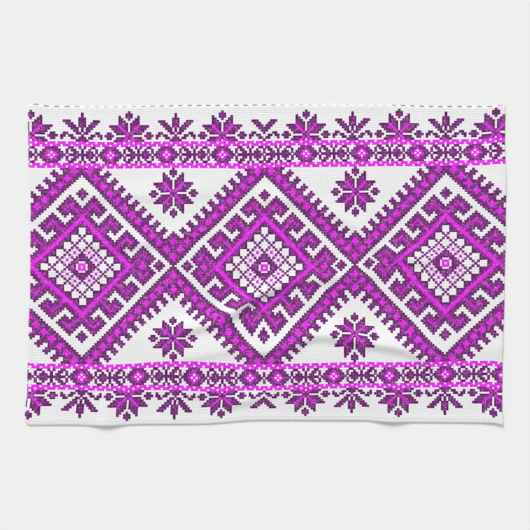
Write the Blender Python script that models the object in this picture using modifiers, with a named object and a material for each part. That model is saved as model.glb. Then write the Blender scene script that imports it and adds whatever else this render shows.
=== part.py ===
"""Tea towel of printed waffle cloth, laid out flat with its creases, as one closed sheet.

Metres, +Z up, +X along the long side. The origin is on the surface that the towel lies on, under
the middle of its outline. Lengths below are in millimetres, on the towel seen from above.
"""

from typing import NamedTuple

import bmesh
import bpy
import numpy as np

MM = 0.001

# The cloth as it is cut and hemmed
CUT_LENGTH = 610.0
CUT_WIDTH = 406.0
CLOTH_THICKNESS = 1.2
HEM_THICKNESS = 1.5
HEM_WIDTH = 6.5
HEM_STEP = 3.0

CREST_STEPS = 6
SQUEEZE_ROUNDS = 3
CLOTH_COLOUR = (0.82, 0.80, 0.82, 1.0)
CLOTH_ROUGHNESS = 0.9


class Stretch(NamedTuple):
    """A stretch of the grid: where it ends, and the size of its cells."""

    end: float
    cell: float


class EdgePoint(NamedTuple):
    """Where an edge of the towel runs: along is the place on the edge, out the edge's own place."""

    along: float
    out: float


class Crest(NamedTuple):
    """A point of a fold's crest."""

    x: float
    y: float
    height: float


class Fold(NamedTuple):
    """A raised fold. left and right are its flanks' widths, seen along the crest, and crisp is 0
    for a round crest and 1 for a sharp one."""

    name: str
    left: float
    right: float
    crisp: float
    crests: tuple


# Small cells where the creases are, and larger ones where the towel lies flat
COLUMN_STRETCHES = (
    Stretch(-112, 12.0),
    Stretch(-76, 8.5),
    Stretch(30, 6.3),
    Stretch(240, 10.5),
    Stretch(CUT_LENGTH / 2 - HEM_WIDTH - HEM_STEP, 14.5),
)
ROW_STRETCHES = (
    Stretch(-135, 10.0),
    Stretch(-84, 7.5),
    Stretch(-12, 6.2),
    Stretch(50, 9.5),
    Stretch(CUT_WIDTH / 2 - HEM_WIDTH - HEM_STEP, 14.0),
)

# From the bottom corner to the top one
LEFT_EDGE = (
    EdgePoint(-205, -305.0),
    EdgePoint(-199, -308.0),
    EdgePoint(-192, -308.0),
    EdgePoint(-160, -305.0),
    EdgePoint(-77, -303.4),
    EdgePoint(-45, -301.3),
    EdgePoint(93, -300.6),
    EdgePoint(127, -303.5),
    EdgePoint(195, -303.9),
    EdgePoint(206, -300.9),
)
RIGHT_EDGE = (
    EdgePoint(-204, 304.2),
    EdgePoint(-185, 302.6),
    EdgePoint(-119, 303.1),
    EdgePoint(-45, 305.5),
    EdgePoint(50, 307.2),
    EdgePoint(108, 308.1),
    EdgePoint(150, 306.2),
    EdgePoint(205, 306.9),
)
# From the left corner to the right one
TOP_EDGE = (
    EdgePoint(-301, 206.4),
    EdgePoint(-278, 203.3),
    EdgePoint(-205, 202.6),
    EdgePoint(-84, 204.5),
    EdgePoint(20, 205.2),
    EdgePoint(153, 204.9),
    EdgePoint(220, 203.0),
    EdgePoint(280, 203.1),
    EdgePoint(304, 204.9),
)
BOTTOM_EDGE = (
    EdgePoint(-307, -202.5),
    EdgePoint(-301, -205.4),
    EdgePoint(-250, -205.2),
    EdgePoint(-203, -206.4),
    EdgePoint(-157, -204.5),
    EdgePoint(-84, -204.1),
    EdgePoint(-8, -199.2),
    EdgePoint(123, -199.6),
    EdgePoint(162, -201.8),
    EdgePoint(290, -202.6),
    EdgePoint(304, -204.8),
)

FOLDS = (
    Fold("swell of the lower third", 62, 88, 0.0, (
        Crest(-275, -100, 0.0),
        Crest(-150, -103, 3.5),
        Crest(5, -110, 5.5),
        Crest(150, -114, 4.0),
        Crest(260, -110, 1.2),
        Crest(330, -108, 0.0),
    )),
    Fold("long wrinkle", 24, 12, 0.3, (
        Crest(-155, -93, 0.0),
        Crest(-129, -89, 2.0),
        Crest(-97, -82, 3.6),
        Crest(-61, -73, 5.2),
        Crest(-43, -62, 6.3),
        Crest(-25, -50, 6.5),
        Crest(-7, -38, 5.2),
        Crest(12, -30, 4.6),
        Crest(31, -24, 3.4),
        Crest(57, -19, 2.8),
        Crest(108, -15, 2.0),
        Crest(142, -14, 0.8),
        Crest(172, -8, 0.0),
    )),
    Fold("fold that sags under the middle", 28, 11, 0.4, (
        Crest(-116, -120, 0.0),
        Crest(-97, -119, 1.6),
        Crest(-61, -112, 1.8),
        Crest(-43, -108, 1.6),
        Crest(-25, -113, 2.0),
        Crest(-7, -112, 2.8),
        Crest(31, -104, 3.4),
        Crest(57, -93, 4.6),
        Crest(82, -92, 4.8),
        Crest(134, -101, 4.8),
        Crest(160, -105, 4.6),
        Crest(185, -112, 3.8),
        Crest(210, -127, 3.0),
        Crest(238, -140, 0.0),
    )),
    Fold("wrinkle left of the middle", 24, 12, 0.4, (
        Crest(-250, 22, 0.0),
        Crest(-225, 26, 1.4),
        Crest(-174, 26, 2.4),
        Crest(-140, 30, 2.4),
        Crest(-104, 38, 1.2),
        Crest(-62, 48, 0.0),
    )),
    Fold("faint wrinkle at the upper left", 24, 12, 0.2, (
        Crest(-262, 88, 0.0),
        Crest(-225, 88, 1.4),
        Crest(-116, 89, 1.6),
        Crest(-84, 92, 1.0),
        Crest(-55, 92, 0.0),
    )),
    Fold("faint wrinkle in the left diamond", 20, 14, 0.2, (
        Crest(-282, -8, 1.2),
        Crest(-225, -12, 0.9),
        Crest(-190, -4, 1.2),
        Crest(-168, -2, 0.0),
    )),
    Fold("wrinkle above the middle", 22, 12, 0.3, (
        Crest(-16, 84, 0.0),
        Crest(2, 85, 1.7),
        Crest(22, 84, 2.2),
        Crest(50, 77, 1.6),
        Crest(80, 66, 1.9),
        Crest(102, 56, 1.7),
        Crest(121, 44, 1.4),
        Crest(140, 23, 1.3),
        Crest(165, 12, 1.9),
        Crest(191, 6, 2.5),
        Crest(210, 5, 2.1),
        Crest(232, -1, 1.2),
        Crest(268, 0, 0.8),
        Crest(296, 4, 0.0),
    )),
    Fold("fold at the upper right", 26, 14, 0.3, (
        Crest(186, 139, 0.0),
        Crest(216, 130, 1.9),
        Crest(232, 126, 2.0),
        Crest(262, 112, 1.4),
        Crest(290, 100, 1.7),
        Crest(318, 84, 0.0),
    )),
    Fold("small crease in the lower border", 14, 10, 0.3, (
        Crest(-62, -183, 0.0),
        Crest(-43, -178, 2.2),
        Crest(-25, -174, 2.4),
        Crest(-7, -169, 2.0),
        Crest(12, -162, 1.5),
        Crest(30, -156, 0.0),
    )),
    Fold("smaller crease left of it", 12, 10, 0.3, (
        Crest(-115, -166, 0.0),
        Crest(-97, -164, 1.4),
        Crest(-61, -163, 1.6),
        Crest(-46, -161, 0.0),
    )),
    Fold("wave in the lower edge, left", 27, 27, 0.0, (
        Crest(-204, -225, 3.6),
        Crest(-200, -190, 2.2),
        Crest(-180, -142, 0.0),
    )),
    Fold("wave in the lower edge, right", 30, 30, 0.0, (
        Crest(164, -225, 3.6),
        Crest(158, -190, 2.2),
        Crest(134, -142, 0.0),
    )),
    Fold("ripple in the right edge", 17, 17, 0.2, (
        Crest(330, -100, 1.4),
        Crest(294, -108, 1.0),
        Crest(250, -113, 0.0),
    )),
    Fold("lifted lower right corner", 36, 36, 0.0, (
        Crest(318, -214, 1.8),
        Crest(262, -176, 0.0),
    )),
)


def between(low, high, share):
    """A smooth step from low to high as share goes from 0 to 1."""
    return low + (high - low) * share * share * (3 - 2 * share)


def edge_place(edge, along):
    """Where the edge runs at each place along it."""
    ends = np.array([point.along for point in edge])
    outs = np.array([point.out for point in edge])
    span = np.clip(np.searchsorted(ends, along, side="right") - 1, 0, len(edge) - 2)
    share = np.clip((along - ends[span]) / (ends[span + 1] - ends[span]), 0, 1)
    return between(outs[span], outs[span + 1], share)


def crest_line(fold):
    """The fold's crest as closely set rows of x, y and height, on a smooth curve through its points."""
    points = np.array(fold.crests)
    before = np.vstack([2 * points[0] - points[1], points[:-1]])
    after = np.vstack([points[1:], 2 * points[-1] - points[-2]])
    slopes = (after - before) / 2
    rows = []
    for start, end, leave, arrive in zip(points, points[1:], slopes, slopes[1:]):
        for t in np.arange(CREST_STEPS) / CREST_STEPS:
            row = (2 * t**3 - 3 * t**2 + 1) * start + (t**3 - 2 * t**2 + t) * leave
            row += (3 * t**2 - 2 * t**3) * end + (t**3 - t**2) * arrive
            row[2] = between(start[2], end[2], t)
            rows.append(row)
    return np.vstack([rows, points[-1]])


def fold_height(fold, x, y):
    """How high the fold lifts the cloth at each point."""
    line = crest_line(fold)
    nearest = np.full(x.shape, np.inf)
    height = np.zeros(x.shape)
    for start, end in zip(line, line[1:]):
        run = end[:2] - start[:2]
        across_x = x - start[0]
        across_y = y - start[1]
        share = np.clip((across_x * run[0] + across_y * run[1]) / (run @ run), 0, 1)
        distance = np.hypot(across_x - share * run[0], across_y - share * run[1])
        on_left = run[0] * across_y - run[1] * across_x > 0
        reach = np.clip(1 - distance / np.where(on_left, fold.left, fold.right), 0, 1)
        shape = (1 - fold.crisp) * between(0, 1, reach) + fold.crisp * reach**2
        closer = distance < nearest
        nearest = np.where(closer, distance, nearest)
        height = np.where(closer, shape * between(start[2], end[2], share), height)
    return height


def cloth_height(x, y):
    """How high the underside lies above the surface at each point."""
    return sum(fold_height(fold, x, y) for fold in FOLDS)


def shares(cut, rise):
    """How far along its row each point comes, from 0 to 1, where the cloth climbs by rise."""
    level = np.sqrt(np.maximum(np.diff(cut) ** 2 - rise**2, 0))
    run = np.concatenate([[0], np.cumsum(level)])
    return run / run[-1]


def cloth_places(columns, rows):
    """x, y and z of the underside at each crossing of the cut's columns and rows.

    The edges are drawn in to the outline, and a row or column that climbs over a fold covers less
    of the surface there.
    """
    along, across = np.meshgrid(columns, rows, indexing="ij")
    left = edge_place(LEFT_EDGE, across)
    right = edge_place(RIGHT_EDGE, across)
    bottom = edge_place(BOTTOM_EDGE, along)
    top = edge_place(TOP_EDGE, along)
    share_x = (along - columns[0]) / CUT_LENGTH
    share_y = (across - rows[0]) / CUT_WIDTH
    for _ in range(SQUEEZE_ROUNDS):
        x = left + (right - left) * share_x
        y = bottom + (top - bottom) * share_y
        z = cloth_height(x, y)
        for row in range(len(rows)):
            share_x[:, row] = shares(columns, np.diff(z[:, row]))
        for column in range(len(columns)):
            share_y[column, :] = shares(rows, np.diff(z[column, :]))
    return x, y, z


def stations(length, stretches):
    """Places of the grid's lines across the cut: the hem, the cells of each stretch, and the hem."""
    places = [-length / 2, -length / 2 + HEM_WIDTH]
    start = places[-1] + HEM_STEP
    for stretch in stretches:
        count = round((stretch.end - start) / stretch.cell)
        places.extend(np.linspace(start, stretch.end, count, endpoint=False))
        start = stretch.end
    places.extend([start, length / 2 - HEM_WIDTH, length / 2])
    return np.array(places)


def make_material():
    """The bleached cloth's own colour."""
    material = bpy.data.materials.new("printed_cloth")
    material.use_nodes = True
    surface = material.node_tree.nodes["Principled BSDF"]
    surface.inputs["Base Color"].default_value = CLOTH_COLOUR
    surface.inputs["Roughness"].default_value = CLOTH_ROUGHNESS
    surface.inputs["Metallic"].default_value = 0.0
    return material


def make_towel(collection):
    """The towel: its underside as a grid, thickened upwards, and more so in the hem."""
    columns = stations(CUT_LENGTH, COLUMN_STRETCHES)
    rows = stations(CUT_WIDTH, ROW_STRETCHES)
    x, y, z = cloth_places(columns, rows)
    last_column = len(columns) - 1
    last_row = len(rows) - 1
    sheet = bmesh.new()
    bmesh.ops.create_grid(sheet, x_segments=last_column, y_segments=last_row, size=1)
    hem = []
    for vertex in sheet.verts:
        column = round((vertex.co.x + 1) / 2 * last_column)
        row = round((vertex.co.y + 1) / 2 * last_row)
        vertex.co = (x[column, row] * MM, y[column, row] * MM, z[column, row] * MM)
        if min(column, last_column - column, row, last_row - row) <= 1:
            hem.append(vertex.index)
    mesh = bpy.data.meshes.new("tea_towel")
    sheet.to_mesh(mesh)
    sheet.free()
    mesh.shade_smooth()
    towel = bpy.data.objects.new("tea_towel", mesh)
    collection.objects.link(towel)
    mesh.materials.append(make_material())
    towel.vertex_groups.new(name="hem").add(hem, 1.0, "REPLACE")
    thicken = towel.modifiers.new("thickness", "SOLIDIFY")
    thicken.thickness = HEM_THICKNESS * MM
    thicken.offset = 1
    thicken.vertex_group = "hem"
    thicken.thickness_vertex_group = CLOTH_THICKNESS / HEM_THICKNESS


def main():
    """Clears the scene and makes the towel in a collection of its own."""
    for thing in list(bpy.data.objects):
        bpy.data.objects.remove(thing)
    collection = bpy.data.collections.new("tea towel")
    bpy.context.scene.collection.children.link(collection)
    make_towel(collection)


main()
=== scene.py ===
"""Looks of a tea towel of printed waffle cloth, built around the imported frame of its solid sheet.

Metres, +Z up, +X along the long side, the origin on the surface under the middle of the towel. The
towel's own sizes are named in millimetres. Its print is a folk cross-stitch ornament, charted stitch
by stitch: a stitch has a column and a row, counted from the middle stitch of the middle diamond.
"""

import logging
import math
from dataclasses import dataclass
from enum import Enum, IntEnum
from typing import NamedTuple

import bmesh
import bpy
import numpy as np
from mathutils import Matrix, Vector


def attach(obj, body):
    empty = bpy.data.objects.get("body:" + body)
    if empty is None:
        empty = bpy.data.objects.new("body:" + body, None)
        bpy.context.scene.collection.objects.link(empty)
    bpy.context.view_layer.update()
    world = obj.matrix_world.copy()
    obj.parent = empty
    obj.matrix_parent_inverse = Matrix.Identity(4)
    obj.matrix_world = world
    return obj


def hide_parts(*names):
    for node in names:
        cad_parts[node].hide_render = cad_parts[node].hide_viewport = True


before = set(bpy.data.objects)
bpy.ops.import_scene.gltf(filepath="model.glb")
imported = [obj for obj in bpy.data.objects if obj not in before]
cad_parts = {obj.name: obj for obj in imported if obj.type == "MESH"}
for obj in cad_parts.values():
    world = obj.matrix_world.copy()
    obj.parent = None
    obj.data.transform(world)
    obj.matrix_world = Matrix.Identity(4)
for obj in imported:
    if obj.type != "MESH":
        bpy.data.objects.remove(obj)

MM = 0.001
LOG = logging.getLogger("tea_towel")

# The mesh's own maps and attributes, which the materials read
CUT_MAP = "cut"
STITCH_MAP = "stitches"
BAKE_MAP = "OFBake"
INKED = "inked"
BESIDE = "beside"
AROUND = "around"

Grid = np.ndarray
Socket = bpy.types.NodeSocket
Colour = tuple[float, float, float, float]
Range = tuple[float, float]


class Stitch(IntEnum):
    """What is printed in one square of the stitch chart."""

    BARE = 0
    DARK = 1
    BRIGHT = 2
    MIDDLE = 3
    PALE = 4


class Side(IntEnum):
    """The side of the sheet that a vertex or a face is on, in the order of the material slots."""

    FRONT = 0
    BACK = 1


class Look(Enum):
    """The towel's two finishes."""

    PRINTED = "printed_front"
    PLAIN = "plain_back"


class EdgePoint(NamedTuple):
    """Where an edge of the towel runs: along is the place on the edge, out the edge's own place."""

    along: float
    out: float


class Crest(NamedTuple):
    """A point of a fold's crest."""

    x: float
    y: float
    height: float


class Fold(NamedTuple):
    """A raised fold. left and right are its flanks' widths, seen along the crest, and crisp is 0
    for a round crest and 1 for a sharp one."""

    name: str
    left: float
    right: float
    crisp: float
    crests: tuple[Crest, ...]


class PrintColumn(NamedTuple):
    """Where a column of stitches lies along the cut cloth, at five levels from top to bottom."""

    column: float
    top: float
    upper: float
    middle: float
    lower: float
    bottom: float


class PrintRow(NamedTuple):
    """Where a row of stitches lies across the cut cloth, at five places from left to right."""

    row: float
    left: float
    half_left: float
    middle: float
    half_right: float
    right: float


class TopDash(NamedTuple):
    """How strongly the dashes on the upper edge are printed at a column."""

    column: float
    strength: float


# The cloth as it is cut and hemmed
CUT_LENGTH = 610.0
CUT_WIDTH = 406.0
CLOTH_THICKNESS = 1.2
HEM_THICKNESS = 1.5
HEM_WIDTH = 6.5
HEM_STEP = 3.0

# How its rim is rounded: over which width, how far the top comes down over the hem, and by which
# share of the thickness the underside is drawn up
HEM_ROUNDING = 1.5
HEM_DROP = 0.5
RIM_TUCK = 0.2

# The lines of the sheet's grid beyond the last whole stitch on each side
END_LINES = 3
# The steps of a fold's crest line between two of its points
CREST_STEPS = 6

# From the bottom corner to the top one
LEFT_EDGE = (
    EdgePoint(-205, -305.0), EdgePoint(-199, -308.0), EdgePoint(-192, -308.0),
    EdgePoint(-160, -305.0), EdgePoint(-77, -303.4), EdgePoint(-45, -301.3),
    EdgePoint(93, -300.6), EdgePoint(127, -303.5), EdgePoint(195, -303.9), EdgePoint(206, -300.9),
)
RIGHT_EDGE = (
    EdgePoint(-204, 304.2), EdgePoint(-185, 302.6), EdgePoint(-119, 303.1), EdgePoint(-45, 305.5),
    EdgePoint(50, 307.2), EdgePoint(108, 308.1), EdgePoint(150, 306.2), EdgePoint(205, 306.9),
)
# From the left corner to the right one
TOP_EDGE = (
    EdgePoint(-301, 206.4), EdgePoint(-278, 203.3), EdgePoint(-205, 202.6), EdgePoint(-84, 204.5),
    EdgePoint(20, 205.2), EdgePoint(153, 204.9), EdgePoint(220, 203.0), EdgePoint(280, 203.1),
    EdgePoint(304, 204.9),
)
BOTTOM_EDGE = (
    EdgePoint(-307, -202.5), EdgePoint(-301, -205.4), EdgePoint(-250, -205.2),
    EdgePoint(-203, -206.4), EdgePoint(-157, -204.5), EdgePoint(-84, -204.1),
    EdgePoint(-8, -199.2), EdgePoint(123, -199.6), EdgePoint(162, -201.8), EdgePoint(290, -202.6),
    EdgePoint(304, -204.8),
)

FOLDS = (
    Fold("swell of the lower third", 62, 88, 0.0, (
        Crest(-275, -100, 0.0), Crest(-150, -103, 3.5), Crest(5, -110, 5.5),
        Crest(150, -114, 4.0), Crest(260, -110, 1.2), Crest(330, -108, 0.0),
    )),
    Fold("long wrinkle", 24, 12, 0.3, (
        Crest(-155, -93, 0.0), Crest(-129, -89, 2.0), Crest(-97, -82, 3.6), Crest(-61, -73, 5.2),
        Crest(-43, -62, 6.3), Crest(-25, -50, 6.5), Crest(-7, -38, 5.2), Crest(12, -30, 4.6),
        Crest(31, -24, 3.4), Crest(57, -19, 2.8), Crest(108, -15, 2.0), Crest(142, -14, 0.8),
        Crest(172, -8, 0.0),
    )),
    Fold("fold that sags under the middle", 28, 11, 0.4, (
        Crest(-116, -120, 0.0), Crest(-97, -119, 1.6), Crest(-61, -112, 1.8),
        Crest(-43, -108, 1.6), Crest(-25, -113, 2.0), Crest(-7, -112, 2.8), Crest(31, -104, 3.4),
        Crest(57, -93, 4.6), Crest(82, -92, 4.8), Crest(134, -101, 4.8), Crest(160, -105, 4.6),
        Crest(185, -112, 3.8), Crest(210, -127, 3.0), Crest(238, -140, 0.0),
    )),
    Fold("wrinkle left of the middle", 24, 12, 0.4, (
        Crest(-250, 22, 0.0), Crest(-225, 26, 1.4), Crest(-174, 26, 2.4), Crest(-140, 30, 2.4),
        Crest(-104, 38, 1.2), Crest(-62, 48, 0.0),
    )),
    Fold("faint wrinkle at the upper left", 24, 12, 0.2, (
        Crest(-262, 88, 0.0), Crest(-225, 88, 1.4), Crest(-116, 89, 1.6), Crest(-84, 92, 1.0),
        Crest(-55, 92, 0.0),
    )),
    Fold("faint wrinkle in the left diamond", 20, 14, 0.2, (
        Crest(-282, -8, 1.2), Crest(-225, -12, 0.9), Crest(-190, -4, 1.2), Crest(-168, -2, 0.0),
    )),
    Fold("wrinkle above the middle", 22, 12, 0.3, (
        Crest(-16, 84, 0.0), Crest(2, 85, 1.7), Crest(22, 84, 2.2), Crest(50, 77, 1.6),
        Crest(80, 66, 1.9), Crest(102, 56, 1.7), Crest(121, 44, 1.4), Crest(140, 23, 1.3),
        Crest(165, 12, 1.9), Crest(191, 6, 2.5), Crest(210, 5, 2.1), Crest(232, -1, 1.2),
        Crest(268, 0, 0.8), Crest(296, 4, 0.0),
    )),
    Fold("fold at the upper right", 26, 14, 0.3, (
        Crest(186, 139, 0.0), Crest(216, 130, 1.9), Crest(232, 126, 2.0), Crest(262, 112, 1.4),
        Crest(290, 100, 1.7), Crest(318, 84, 0.0),
    )),
    Fold("small crease in the lower border", 14, 10, 0.3, (
        Crest(-62, -183, 0.0), Crest(-43, -178, 2.2), Crest(-25, -174, 2.4), Crest(-7, -169, 2.0),
        Crest(12, -162, 1.5), Crest(30, -156, 0.0),
    )),
    Fold("smaller crease left of it", 12, 10, 0.3, (
        Crest(-115, -166, 0.0), Crest(-97, -164, 1.4), Crest(-61, -163, 1.6),
        Crest(-46, -161, 0.0),
    )),
    Fold("wave in the lower edge, left", 27, 27, 0.0, (
        Crest(-204, -225, 3.6), Crest(-200, -190, 2.2), Crest(-180, -142, 0.0),
    )),
    Fold("wave in the lower edge, right", 30, 30, 0.0, (
        Crest(164, -225, 3.6), Crest(158, -190, 2.2), Crest(134, -142, 0.0),
    )),
    Fold("ripple in the right edge", 17, 17, 0.2, (
        Crest(330, -100, 1.4), Crest(294, -108, 1.0), Crest(250, -113, 0.0),
    )),
    Fold("lifted lower right corner", 36, 36, 0.0, (
        Crest(318, -214, 1.8), Crest(262, -176, 0.0),
    )),
)

# Where the print lies on the cut cloth. It is drawn out towards both ends.
PRINT_COLUMNS = (
    PrintColumn(-98, -302, -303.2, -303.4, -302.4, -301.7),
    PrintColumn(-88, -268.9, -270.2, -270.3, -268.2, -267.2),
    PrintColumn(-78, -235.6, -238.6, -238.6, -236.6, -235.1),
    PrintColumn(-39, -119.3, -121.8, -121.3, -119.8, -117.3),
    PrintColumn(0, -3, -5, -4.2, -3.1, -0.5),
    PrintColumn(39, 112.7, 111.7, 112.2, 113.7, 115.2),
    PrintColumn(78, 229, 227, 228.5, 230, 231.5),
    PrintColumn(88, 260.2, 260.2, 260.4, 261, 262),
    PrintColumn(98, 293.1, 293.6, 294.2, 294.2, 293.4),
)
# The rows of stitches at which those places are given
COLUMN_LEVELS = (44, 34, 0, -25, -50)

PRINT_ROWS = (
    PrintRow(65.5, 198, 196, 196, 197.5, 198.9),
    PrintRow(47, 141, 140.5, 139.5, 141, 144),
    PrintRow(25, 75, 73.5, 72, 73.5, 76.5),
    PrintRow(0, -2, -1, -4, -1.5, 1.5),
    PrintRow(-25, -75.5, -75.5, -77.5, -76.5, -74),
    PrintRow(-47, -141.5, -142, -149, -145, -140),
    PrintRow(-65.5, -196.2, -199.5, -201, -196.5, -195.6),
)
# The columns of stitches at which those places are given
ROW_PLACES = (-84, -42, 0, 42, 84)

# How strongly the dashes are printed along the upper edge
TOP_DASHES = (
    TopDash(-100, 0.7), TopDash(-83, 0.7), TopDash(-79, 0.35), TopDash(-62, 0.35),
    TopDash(-54, 0.5), TopDash(-30, 0.75), TopDash(0, 0.7), TopDash(10, 0.3), TopDash(22, 0.3),
    TopDash(30, 0.2), TopDash(52, 0.2), TopDash(58, 0.75), TopDash(85, 0.8), TopDash(104, 0.45),
)

# Where the folds pull the print across the cloth, written as folds: the height is how far it is
# drawn towards the top edge.
PRINT_PULLS = (
    Fold("up along the long wrinkle", 13, 20, 0.0, (
        Crest(-74, -69, 0.0), Crest(-56, -67, 5.0), Crest(-39, -59, 7.3), Crest(-26, -57, 7.3),
        Crest(-14, -53, 5.8), Crest(0, -60, 2.8), Crest(25, -43, 2.5), Crest(40, -30, 4.5),
        Crest(63, -32, 3.6), Crest(95, -34, 2.4), Crest(123, -23, 1.0),
    )),
    Fold("up below it", 40, 30, 0.0, (
        Crest(-95, -55, 0.0), Crest(-76, -55, 1.6), Crest(-56, -58, 2.6), Crest(-39, -62, 3.4),
        Crest(-20, -72, 4.2), Crest(-2, -78, 4.4), Crest(12, -80, 3.0), Crest(30, -82, 1.2),
        Crest(45, -84, 0.0),
    )),
    Fold("down below the middle", 24, 16, 0.0, (
        Crest(-40, -4, 0.0), Crest(-15, -4, -1.8), Crest(46, -2, -1.8), Crest(87, 4, -1.5),
        Crest(100, 4, 0.0),
    )),
    Fold("down above it", 26, 26, 0.0, (
        Crest(-163, -56, 0.0), Crest(-135, -62, -3.4), Crest(-103, -62, -4.2),
        Crest(-87, -50, -2.5), Crest(-74, -36, -1.8), Crest(-52, -28, -3.3),
        Crest(-26, -34, -3.8), Crest(-12, -31, -2.6), Crest(3, -25, 0.0),
    )),
    Fold("down under the middle diamond", 42, 28, 0.0, (
        Crest(-66, -104, 0.0), Crest(-48, -100, -2.2), Crest(-26, -100, -3.8),
        Crest(-5, -104, -2.2), Crest(18, -96, -3.7), Crest(40, -98, -3.9), Crest(59, -96, -2.8),
        Crest(73, -91, 0.0),
    )),
    Fold("up under the lower left star", 33, 30, 0.0, (
        Crest(-167, -112, 0.0), Crest(-142, -117, 1.9), Crest(-116, -119, 3.2),
        Crest(-90, -117, 4.4), Crest(-69, -121, 3.4), Crest(-51, -130, 2.0),
        Crest(-35, -135, 0.0),
    )),
    Fold("up through the lower right star", 23, 27, 0.0, (
        Crest(67, -78, 0.0), Crest(82, -89, 3.8), Crest(102, -92, 5.8), Crest(116, -92, 5.1),
        Crest(131, -92, 2.8), Crest(154, -94, 0.0),
    )),
    Fold("down under the right diamond", 26, 22, 0.0, (
        Crest(151, -96, 0.0), Crest(169, -99, -2.8), Crest(187, -100, -3.4),
        Crest(200, -101, -3.0), Crest(215, -99, -1.8), Crest(236, -96, 0.0),
    )),
    Fold("up in the middle of the right diamond", 26, 36, 0.0, (
        Crest(121, 3, 0.0), Crest(140, 1, 3.6), Crest(159, 2, 5.4), Crest(178, 4, 6.0),
        Crest(191, 5, 5.6), Crest(210, 5, 3.5), Crest(228, 6, 0.6),
    )),
    Fold("up left of the middle", 23, 23, 0.0, (
        Crest(-138, 32, 0.0), Crest(-116, 30, 1.5), Crest(-92, 29, 2.6), Crest(-74, 32, 2.2),
        Crest(-52, 38, 1.3), Crest(-14, 47, 0.6), Crest(44, 50, 0.0),
    )),
    Fold("up in the left diamond", 18, 18, 0.0, (
        Crest(-289, 92, 0.0), Crest(-263, 92, 1.4), Crest(-235, 92, 1.8), Crest(-207, 92, 0.0),
    )),
    Fold("down above the left diamond", 24, 24, 0.0, (
        Crest(-205, 93, 0.0), Crest(-178, 93, -1.4), Crest(-158, 93, -1.7), Crest(-110, 93, 0.0),
    )),
    Fold("down above the middle", 40, 40, 0.0, (
        Crest(-65, 112, 0.0), Crest(-35, 112, -1.5), Crest(-15, 112, -1.4), Crest(10, 112, 0.0),
    )),
    Fold("up beside the left diamond", 34, 34, 0.0, (
        Crest(-218, -32, 1.3), Crest(-180, -32, 1.3),
    )),
    Fold("up in the lower border", 34, 30, 0.0, (
        Crest(-88, -197, 0.0), Crest(-70, -197, 2.0), Crest(-54, -197, 3.6),
        Crest(-10, -197, 2.9), Crest(54, -197, 2.0), Crest(95, -197, 1.3), Crest(125, -197, 0.8),
        Crest(150, -197, 0.0),
    )),
    Fold("down along the left edge", 30, 30, 0.0, (
        Crest(-303, 200, -2.9), Crest(-303, 115, -2.6), Crest(-303, 38, -1.3),
    )),
    Fold("up along the right edge", 25, 25, 0.0, (
        Crest(292, 200, 1.2), Crest(292, -45, 0.8),
    )),
)


def between(low: Grid | float, high: Grid | float, share: Grid | float) -> Grid | float:
    """A smooth step from low to high as share goes from 0 to 1."""
    return low + (high - low) * share * share * (3 - 2 * share)


def within(values: Grid, low: float, high: float) -> Grid:
    """True where the values lie from low to high, both included."""
    return (values >= low) & (values <= high)


def crest_line(fold: Fold) -> Grid:
    """Draws a smooth curve through a fold's points.

    Args:
        fold: The fold.

    Returns:
        The crest as close rows of x, y and height.
    """
    points = np.array(fold.crests)
    before = np.vstack([2 * points[0] - points[1], points[:-1]])
    after = np.vstack([points[1:], 2 * points[-1] - points[-2]])
    slopes = (after - before) / 2
    rows = []
    for start, end, leave, arrive in zip(points, points[1:], slopes, slopes[1:]):
        for t in np.arange(CREST_STEPS) / CREST_STEPS:
            row = (2 * t**3 - 3 * t**2 + 1) * start + (t**3 - 2 * t**2 + t) * leave
            row += (3 * t**2 - 2 * t**3) * end + (t**3 - t**2) * arrive
            row[2] = between(start[2], end[2], t)
            rows.append(row)
    return np.vstack([rows, points[-1]])


def fold_height(fold: Fold, x: Grid, y: Grid) -> Grid:
    """Works out how high a fold stands.

    Args:
        fold: The fold.
        x: Each point's place along the towel.
        y: Its place across the towel.

    Returns:
        The fold's height at each point.
    """
    line = crest_line(fold)
    nearest = np.full(x.shape, np.inf)
    height = np.zeros(x.shape)
    for start, end in zip(line, line[1:]):
        run = end[:2] - start[:2]
        across_x = x - start[0]
        across_y = y - start[1]
        share = np.clip((across_x * run[0] + across_y * run[1]) / (run @ run), 0, 1)
        distance = np.hypot(across_x - share * run[0], across_y - share * run[1])
        on_left = run[0] * across_y - run[1] * across_x > 0
        reach = np.clip(1 - distance / np.where(on_left, fold.left, fold.right), 0, 1)
        shape = (1 - fold.crisp) * between(0, 1, reach) + fold.crisp * reach**2
        closer = distance < nearest
        nearest = np.where(closer, distance, nearest)
        height = np.where(closer, shape * between(start[2], end[2], share), height)
    return height


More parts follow.
